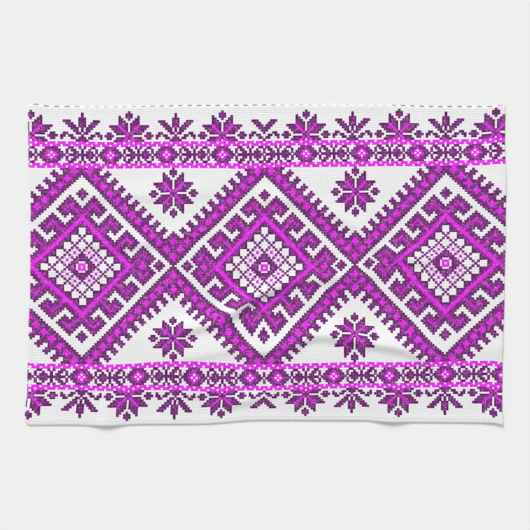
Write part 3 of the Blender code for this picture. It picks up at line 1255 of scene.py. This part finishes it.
class Dyer:
    """Makes the towel's materials. A noise mostly stays within noise_span."""

    noise_span: Range = (0.3, 0.7)

    def __init__(self, cloth: Cloth, ink: Ink) -> None:
        """Keeps the finishes and builds the shared node groups.

        Args:
            cloth: The cloth's finish.
            ink: The print's.
        """
        self.cloth = cloth
        self.ink = ink
        self.weaving = Weaving()

    def start(self, look: Look) -> tuple[bpy.types.Material, Nodes, bpy.types.Node]:
        """Starts a cloth material, with its constant values set.

        Args:
            look: The finish that it is for.

        Returns:
            The material, the calls that add to its tree, and its Principled BSDF.
        """
        material = bpy.data.materials.new(look.value)
        material.use_nodes = True
        shader = material.node_tree.nodes["Principled BSDF"]
        shader.inputs["Sheen Weight"].default_value = self.cloth.sheen
        shader.inputs["Sheen Roughness"].default_value = self.cloth.sheen_roughness
        shader.inputs["Specular IOR Level"].default_value = self.cloth.gloss
        shader.inputs["Metallic"].default_value = 0.0
        return material, Nodes(material.node_tree), shader

    def place(self, n: Nodes) -> Socket:
        """The place on the cut cloth, in millimetres."""
        return n.scaled(n.add("UVMap", {}, uv_map=CUT_MAP).outputs[0], 1 / MM)

    def relief(self, n: Nodes, shader: bpy.types.Node, place: Socket) -> tuple[Socket, Socket]:
        """Gives the shader the cloth's weave and its sewing line as bump.

        Args:
            n: The calls that add to the material's tree.
            shader: Its Principled BSDF.
            place: The place on the cut cloth, in millimetres.

        Returns:
            The mask that is 0 in the weave's pits, and the one of the sewing line's groove.
        """
        cloth = self.cloth
        weave = n.use(self.weaving.waffle, {
            "Place": place, "Pitch": cloth.waffle, "Thread": cloth.thread,
            "Depth": cloth.waffle_depth, "Thread depth": cloth.thread_depth,
        })
        hem = n.use(self.weaving.hem, {
            "Place": place, "Half length": CUT_LENGTH / 2, "Half width": CUT_WIDTH / 2,
            "Line": HEM_WIDTH - cloth.sewing_margin, "Stitch": cloth.sewing_stitch,
        })
        groove = n.times(hem.outputs["Groove"], -cloth.sewing_depth)
        thread = n.times(hem.outputs["Thread"], cloth.sewing_height)
        height = n.plus(n.plus(weave.outputs["Height"], groove), thread)
        bump = n.add("Bump", {"Height": n.times(height, MM), "Strength": 1.0, "Distance": 1.0})
        n.feed(shader.inputs["Normal"], bump.outputs[0])
        return weave.outputs["Pits"], hem.outputs["Groove"]

    def bare(self, n: Nodes, place: Socket, pits: Socket, groove: Socket) -> Socket:
        """Mixes the bleached cloth's faintly uneven colour with painted shade in the pits, groove and
        lower right.

        Args:
            n: The calls that add to the material's tree.
            place: The place on the cut cloth, in millimetres.
            pits: The mask of the weave's pits.
            groove: The mask of the sewing line's groove.

        Returns:
            The colour, with its painted shade.
        """
        cloth = self.cloth
        patches = n.noise(place, cloth.patch_scale, cloth.patch_detail)
        uneven = n.ramp(patches, *self.noise_span, cloth.worn_patch, 1.0)
        # painted shade: darker towards the lower right, where the light falls off
        uneven = n.times(uneven, self.painted_shade_falloff(n, place))
        # painted shade in the weave's pits and the sewing line's groove
        shade = n.times(uneven, n.lifted(pits, -cloth.painted_pit_shade, 1.0))
        shade = n.times(shade, n.lifted(groove, -cloth.painted_groove_shade, 1.0))
        return n.scaled(cloth.colour[:3], shade)

    def painted_shade_falloff(self, n: Nodes, place: Socket) -> Socket:
        """Paints shade that darkens the towel towards its lower right corner, in place of the light's
        fall-off.

        Args:
            n: The calls that add to the material's tree.
            place: The place on the cut cloth, in millimetres.

        Returns:
            The painted shade's factor.
        """
        x, y, _ = n.parts(place)
        towards = n.lifted(x, self.cloth.painted_shade_slant, n.times(y, -1.0))
        return n.ramp(towards, *self.cloth.painted_shade_span, 1.0, self.cloth.painted_shade_corner)

    def printed(self) -> bpy.types.Material:
        """Makes the front: bleached waffle cloth under the printed stitches.

        Returns:
            The material.
        """
        material, n, shader = self.start(Look.PRINTED)
        ink = self.ink
        place = self.place(n)
        pits, groove = self.relief(n, shader, place)
        inking, brightness, paleness, _ = n.attribute(INKED)
        corner, rim, share, shine = n.attribute(AROUND)
        brightness = n.more(brightness, n.ramp(shine, *ink.glow_span, 0.0, ink.glow))
        left, right, below, above = n.attribute(BESIDE)
        stitch = n.use(self.weaving.stitch, {
            "Place": n.add("UVMap", {}, uv_map=STITCH_MAP).outputs[0], "Arm": ink.arm,
            "Point": ink.point, "Notch": ink.notch, "Grains": ink.grains, "Corner": corner,
            "Inked": inking, "Spread": ink.spread, "Left": left, "Right": right,
            "Below": below, "Above": above,
        }).outputs
        brightness = n.more(brightness, stitch["Spread glow"])
        cloth = self.bare(n, place, pits, groove)
        cloth = n.scaled(cloth, n.ramp(share, *ink.halo_span, 1.0, 1.0 + ink.halo))
        dark = n.mix(n.ramp(stitch["Warmth"], *ink.warm_span), ink.dark, ink.warm)
        colour = n.mix(brightness, dark, ink.bright)
        even = n.lifted(brightness, -ink.evenness, 1.0)
        uneven = n.lifted(stitch["Tone"], 2 * ink.uneven, -ink.uneven)
        colour = n.scaled(colour, n.lifted(uneven, even, 1.0))
        speck = n.ramp(stitch["Tone"], *ink.speck_span, 0.0, ink.speck_cover)
        gap = n.times(stitch["Gap"], ink.gap_cover)
        worn = n.ramp(stitch["Warmth"], *self.noise_span, *ink.worn)
        worn = n.times(n.more(gap, speck), worn)
        colour = n.mix(n.times(worn, even), colour, ink.gap)
        edge = n.minus(1.0, brightness)
        colour = n.mix(n.times(rim, edge), colour, ink.outline)
        # the print gets the same painted shade towards the lower right
        colour = n.scaled(n.mix(paleness, colour, ink.pale), self.painted_shade_falloff(n, place))
        cloth = n.mix(n.ramp(share, *ink.halo_span, 0.0, ink.stain_cover), cloth, ink.stain)
        cover = stitch["Cover"]
        n.feed(shader.inputs["Base Color"], n.mix(cover, cloth, colour))
        rough = n.ramp(cover, 0.0, 1.0, self.cloth.roughness, self.cloth.ink_roughness)
        n.feed(shader.inputs["Roughness"], rough)
        return material

    def plain(self) -> bpy.types.Material:
        """Makes the back: bleached waffle cloth.

        Returns:
            The material.
        """
        material, n, shader = self.start(Look.PLAIN)
        place = self.place(n)
        pits, groove = self.relief(n, shader, place)
        n.feed(shader.inputs["Base Color"], self.bare(n, place, pits, groove))
        rough = n.ramp(pits, 0.0, 1.0, self.cloth.roughness, self.cloth.pit_roughness)
        n.feed(shader.inputs["Roughness"], rough)
        return material


class StitchMap:
    """The charted print, as the sheet's faces and crossings need it.

    middle_bright is how bright the ink is that lies between the dark and the bright one. The
    crossings' glow adds up each bright stitch's share and each middle one's, and where two of them
    only meet at the corner, as along a slanting line, it is more by slant_glow.
    """

    middle_bright: float = 0.72
    bright_share: float = 0.25
    middle_share: float = 0.18
    slant_glow: float = 0.2
    edge_rims: tuple[float, ...] = (1.0, 0.9, 0.0)
    thin_rim: float = 0.3

    def __init__(self, ornament: Ornament, layout: PrintLayout) -> None:
        """Charts the print, with one line of stitches to spare on each side.

        Args:
            ornament: The print's ornament.
            layout: Where its stitches lie.
        """
        self.far_column = layout.far_column + 1
        self.far_row = layout.far_row + 1
        columns = np.arange(-self.far_column, self.far_column + 1)
        rows = np.arange(-self.far_row, self.far_row + 1)
        self.kind = ornament.chart(columns, rows)

    def spot(self, column: Grid, row: Grid) -> tuple[Grid, Grid]:
        """Where the stitches nearest to these columns and rows stand in the chart."""
        c = np.round(column).astype(int) + self.far_column
        return c, np.round(row).astype(int) + self.far_row

    def ink(self, column: Grid, row: Grid) -> Grid:
        """Says how stitches are inked.

        Args:
            column: Each stitch's column.
            row: Its row.

        Returns:
            How much, how bright and how pale, one row for each stitch.
        """
        stitch = self.kind[self.spot(column, row)]
        tones = [1.0, self.middle_bright]
        bright = np.select([stitch == Stitch.BRIGHT, stitch == Stitch.MIDDLE], tones, 0.0)
        inked = np.where(stitch == Stitch.BARE, 0.0, 1.0)
        pale = np.where(stitch == Stitch.PALE, 1.0, 0.0)
        return np.stack([inked, bright, pale], axis=1)

    def beside(self, column: Grid, row: Grid) -> Grid:
        """Says what lies beside bare stitches.

        Args:
            column: Each stitch's column.
            row: Its row.

        Returns:
            What lies left, right, below and above it: 0 for bare, 1 for dark and 2 for bright.
        """
        own = self.ink(column, row)[:, 0]
        sides = []
        for right, up in ((-1, 0), (1, 0), (0, -1), (0, 1)):
            ink = self.ink(np.round(column) + right, np.round(row) + up)
            sides.append(np.where((own > 0) | (ink[:, 2] > 0), 0.0, ink[:, 0] + ink[:, 1]))
        return np.stack(sides, axis=1)

    @staticmethod
    def sum_around(cells: Grid) -> Grid:
        """The sum of the four cells round each crossing."""
        return cells[:-1, :-1] + cells[1:, :-1] + cells[:-1, 1:] + cells[1:, 1:]

    def crossings(self, column: Grid, row: Grid) -> Grid:
        """Says how the print meets the bare cloth at the crossings of the grid.

        Args:
            column: Each crossing's column, half way between two stitches.
            row: The same for its row.

        Returns:
            1 where the ink comes to a point and -1 where the cloth does, how dark the ink's rim
            is, how much of the crossing's surroundings is inked, and how much it glows with the
            bright ink.
        """
        kind = self.kind
        inked = np.where(np.isin(kind, (Stitch.BARE, Stitch.PALE)), 0, 1)
        padded = np.pad(inked, 1, mode="edge")
        company = padded[:-2, 1:-1] + padded[2:, 1:-1] + padded[1:-1, :-2] + padded[1:-1, 2:]
        massed = np.where((inked == 1) & (company >= 2), 1, 0)
        open_cloth = np.where((inked == 0) & (company <= 2), 1, 0)
        count = self.sum_around(inked)
        facing = inked[:-1, :-1] == inked[1:, 1:]
        corner = np.where((count == 1) & (self.sum_around(massed) == 1), 1.0, 0.0)
        corner += np.where((count == 2) & facing, 1.0, 0.0)
        corner -= np.where((count == 3) & (self.sum_around(open_cloth) == 1), 1.0, 0.0)
        rim = np.interp(count, (0, 2, 4), self.edge_rims)
        rim = np.where(self.sum_around(massed) > 0, rim, self.thin_rim)
        shares = [self.bright_share, self.middle_share]
        glow = self.sum_around(np.select([kind == Stitch.BRIGHT, kind == Stitch.MIDDLE], shares, 0.0))
        bright = np.where(np.isin(kind, (Stitch.BRIGHT, Stitch.MIDDLE)), 1, 0)
        slanting = (self.sum_around(bright) == 2) & (bright[:-1, :-1] == bright[1:, 1:])
        glow += np.where(slanting, self.slant_glow, 0.0)
        spot = self.spot(column - 0.5, row - 0.5)
        return np.stack([layer[spot] for layer in (corner, rim, count / 4, glow)], axis=-1)

    def dashes(self, column: Grid) -> Grid:
        """Inks the dark dashes of the next repeat that just show on the upper edge.

        Args:
            column: Each stitch's column.

        Returns:
            How strongly it is inked.
        """
        columns, strengths = zip(*TOP_DASHES)
        strength = np.interp(column, columns, strengths)
        return np.where(np.isin(np.round(column) % 4, (0, 3)), strength, 0.0)


@dataclass(frozen=True)
class Towel:
    """The towel: one closed sheet, printed on its front.

    The bake_ sizes are parts of the bake map, and rim_reach is the width that the rim has on it.
    """

    name: str = "printed_towel"
    bake_margin: float = 0.004
    bake_front: float = 0.68
    rim_reach: float = 2.5

    def build(self, ornament: Ornament, drape: Drape, dyer: Dyer) -> bpy.types.Object:
        """Builds the sheet and dresses it.

        Args:
            ornament: The print's ornament.
            drape: How the cloth lies.
            dyer: The maker of its materials.

        Returns:
            The towel.
        """
        layout = PrintLayout()
        grid = TowelGrid.make(layout)
        mesh = self.mesh(grid, drape)
        mesh.materials.append(dyer.printed())
        mesh.materials.append(dyer.plain())
        self.wear(mesh, grid, StitchMap(ornament, layout))
        towel = bpy.data.objects.new(self.name, mesh)
        bpy.context.scene.collection.objects.link(towel)
        return towel

    def mesh(self, grid: TowelGrid, drape: Drape) -> bpy.types.Mesh:
        """Makes the sheet's two sides as grids on the laid-out cloth, joined round the rim.

        Args:
            grid: The sheet's grid.
            drape: How the cloth lies.

        Returns:
            The mesh. Its vertices are the front's and then the back's, each row by row.
        """
        x, y, z = drape.places(grid.along, grid.across)
        end = CUT_LENGTH / 2 - np.abs(grid.along)
        side = CUT_WIDTH / 2 - np.abs(grid.across)
        edge = np.minimum(end, side)
        hemmed = between(0.0, 1.0, np.clip((HEM_WIDTH + HEM_STEP - edge) / HEM_STEP, 0, 1))
        thickness = CLOTH_THICKNESS + (HEM_THICKNESS - CLOTH_THICKNESS) * hemmed
        rounded = np.clip(1 - edge / HEM_ROUNDING, 0, 1)
        top = z + thickness - HEM_DROP * np.clip(1 - edge / HEM_WIDTH, 0, 1) ** 2
        under = z + thickness * RIM_TUCK * rounded
        sheet = bmesh.new()
        columns, rows = x.shape
        for height in (top, under):
            made = bmesh.ops.create_grid(sheet, x_segments=columns - 1, y_segments=rows - 1, size=1)
            for vertex in made["verts"]:
                i = round((vertex.co.x + 1) / 2 * (columns - 1))
                j = round((vertex.co.y + 1) / 2 * (rows - 1))
                vertex.co = Vector((x[i, j], y[i, j], height[i, j])) * MM
            if height is under:
                faces = {face for vertex in made["verts"] for face in vertex.link_faces}
                bmesh.ops.reverse_faces(sheet, faces=list(faces))
        rims = [line for line in sheet.edges if line.is_boundary]
        bmesh.ops.bridge_loops(sheet, edges=rims)
        mesh = bpy.data.meshes.new(self.name)
        sheet.to_mesh(mesh)
        sheet.free()
        mesh.shade_smooth()
        return mesh

    @staticmethod
    def read(items: bpy.types.bpy_prop_collection, name: str) -> Grid:
        """Reads a whole number of each of a mesh's loops or faces.

        Args:
            items: The loops or faces.
            name: The number's name.

        Returns:
            The numbers.
        """
        values = np.empty(len(items), int)
        items.foreach_get(name, values)
        return values

    def wear(self, mesh: bpy.types.Mesh, grid: TowelGrid, stitches: StitchMap) -> None:
        """Gives each face its stitch and its material, and each corner its places in the maps.

        Args:
            mesh: The sheet.
            grid: Its grid.
            stitches: The charted print.
        """
        columns, rows = grid.column.shape
        corners = self.read(mesh.loops, "vertex_index")
        starts = self.read(mesh.polygons, "loop_start")
        totals = self.read(mesh.polygons, "loop_total")
        side = corners // (columns * rows)
        i = corners % (columns * rows) % columns
        j = corners % (columns * rows) // columns
        on_back = np.add.reduceat(side, starts) == totals
        back = np.repeat(on_back, totals)
        along = grid.along[i, j]
        across = grid.across[i, j]
        self.add_map(mesh, CUT_MAP, along * MM, across * MM)
        self.add_map(mesh, STITCH_MAP, grid.column[i, j] + 0.5, grid.row[i, j] + 0.5)
        out = np.where((side == Side.BACK) & ~back, self.rim_reach, 0.0)
        out_x = np.where((i == 0) | (i == columns - 1), np.sign(along) * out, 0.0)
        out_y = np.where((j == 0) | (j == rows - 1), np.sign(across) * out, 0.0)
        self.add_bake_map(mesh, along + out_x, across + out_y, back)
        middle_c, middle_r, middle_i, middle_j = (
            np.add.reduceat(values, starts) / totals
            for values in (grid.column[i, j], grid.row[i, j], i, j)
        )
        ink = stitches.ink(middle_c, middle_r)
        outermost = middle_j > rows - 2
        ink[outermost, 0] = stitches.dashes(middle_c[outermost])
        ink[outermost, 1:] = 0
        spread = stitches.beside(middle_c, middle_r)
        for middle, lines in ((middle_i, columns), (middle_j, rows)):
            spread[(middle < END_LINES) | (middle > lines - 1 - END_LINES)] = 0
        crossings = stitches.crossings(grid.column, grid.row)
        crossings[:, -END_LINES:, 1] = 1.0
        vertex = np.arange(len(mesh.vertices)) % (columns * rows)
        edges = crossings[vertex % columns, vertex // columns]
        mesh.attributes.new(INKED, "FLOAT_VECTOR", "FACE").data.foreach_set("vector", ink.ravel())
        mesh.attributes.new(BESIDE, "FLOAT_COLOR", "FACE").data.foreach_set("color", spread.ravel())
        mesh.attributes.new(AROUND, "FLOAT_COLOR", "POINT").data.foreach_set("color", edges.ravel())
        slots = np.where(on_back, Side.BACK, Side.FRONT)
        mesh.polygons.foreach_set("material_index", slots.astype(np.int32))

    def add_map(self, mesh: bpy.types.Mesh, name: str, u: Grid, v: Grid) -> None:
        """Adds a UV map with a place for each corner."""
        layer = mesh.uv_layers.new(name=name)
        layer.data.foreach_set("uv", np.stack([u, v], axis=1).ravel())

    def add_bake_map(self, mesh: bpy.types.Mesh, along: Grid, across: Grid, back: Grid) -> None:
        """Adds the map that a bake may use: the front above, with the rim, and the back below.

        Args:
            mesh: The sheet.
            along: Each corner's place along the cut cloth, with the rim laid flat beside it.
            across: The same across the cut cloth.
            back: Whether the corner belongs to the back.
        """
        length = CUT_LENGTH + 2 * self.rim_reach
        width = CUT_WIDTH + 2 * self.rim_reach
        u = along / length + 0.5
        v = across / width + 0.5
        shrink = (1 - self.bake_front - 3 * self.bake_margin) * length / width
        room = 1 - 2 * self.bake_margin
        front_u = self.bake_margin + u * room
        front_v = 1 - self.bake_margin - (1 - v) * self.bake_front
        back_u = self.bake_margin + u * shrink * room
        back_v = self.bake_margin + v * shrink * width / length
        self.add_map(mesh, BAKE_MAP, np.where(back, back_u, front_u), np.where(back, back_v, front_v))


@dataclass(frozen=True)
class Studio:
    """The plain floor, the soft light, and the camera straight above the towel."""

    view_width: float = 0.6784
    camera_height: float = 3.0
    centre: tuple[float, float] = (-0.0008, -0.0003)
    sensor: float = 36.0
    floor_reach: float = 6.0
    floor_gap: float = 0.0002
    floor_colour: Colour = (0.80, 0.80, 0.80, 1.0)
    floor_roughness: float = 0.9
    floor_gloss: float = 0.1
    key_from: tuple[float, float, float] = (-0.25, 0.95, 0.62)
    key_power: float = 2.68
    key_spread: float = 0.5
    surround: float = 0.62

    def floor(self) -> None:
        """Lays a wide pale floor just under the towel."""
        sheet = bmesh.new()
        bmesh.ops.create_grid(sheet, x_segments=1, y_segments=1, size=self.floor_reach)
        bmesh.ops.translate(sheet, vec=(0, 0, -self.floor_gap), verts=sheet.verts)
        mesh = bpy.data.meshes.new("floor")
        sheet.to_mesh(mesh)
        sheet.free()
        material = bpy.data.materials.new("pale_floor")
        material.use_nodes = True
        shader = material.node_tree.nodes["Principled BSDF"]
        shader.inputs["Base Color"].default_value = self.floor_colour
        shader.inputs["Roughness"].default_value = self.floor_roughness
        shader.inputs["Specular IOR Level"].default_value = self.floor_gloss
        mesh.materials.append(material)
        floor = bpy.data.objects.new("floor", mesh)
        bpy.context.scene.collection.objects.link(floor)

    def key(self) -> None:
        """The main light: soft, and the same all over, as from a wide window far away."""
        data = bpy.data.lights.new("key", "SUN")
        data.angle = self.key_spread
        data.energy = self.key_power
        lamp = bpy.data.objects.new("key", data)
        lamp.location = Vector(self.key_from)
        lamp.rotation_euler = (-lamp.location).to_track_quat("-Z", "Y").to_euler()
        bpy.context.scene.collection.objects.link(lamp)

    def camera(self) -> None:
        """The camera, looking straight down."""
        data = bpy.data.cameras.new("camera")
        data.sensor_width = self.sensor
        data.lens = self.sensor * self.camera_height / self.view_width
        camera = bpy.data.objects.new("camera", data)
        camera.location = (*self.centre, self.camera_height)
        bpy.context.scene.collection.objects.link(camera)
        bpy.context.scene.camera = camera

    def walls(self) -> None:
        """An even pale light from all round."""
        world = bpy.data.worlds.new("walls")
        world.use_nodes = True
        background = world.node_tree.nodes["Background"]
        background.inputs["Color"].default_value = (1, 1, 1, 1)
        background.inputs["Strength"].default_value = self.surround
        bpy.context.scene.world = world

    def build(self) -> None:
        """Sets the studio up."""
        bpy.context.scene.view_settings.view_transform = "Standard"
        self.floor()
        self.key()
        self.walls()
        self.camera()


def main() -> None:
    """Builds the studio and the towel around the frame."""
    logging.basicConfig(level=logging.INFO, format="%(name)s: %(message)s")
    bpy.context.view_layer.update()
    Studio().build()
    dyer = Dyer(Cloth(), Ink())
    towel = Towel().build(Ornament(), Drape(), dyer)
    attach(towel, "root")
    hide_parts("tea_towel")
    LOG.info("%s has %d faces", towel.name, len(towel.data.polygons))
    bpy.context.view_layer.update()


if __name__ == "__main__":
    main()
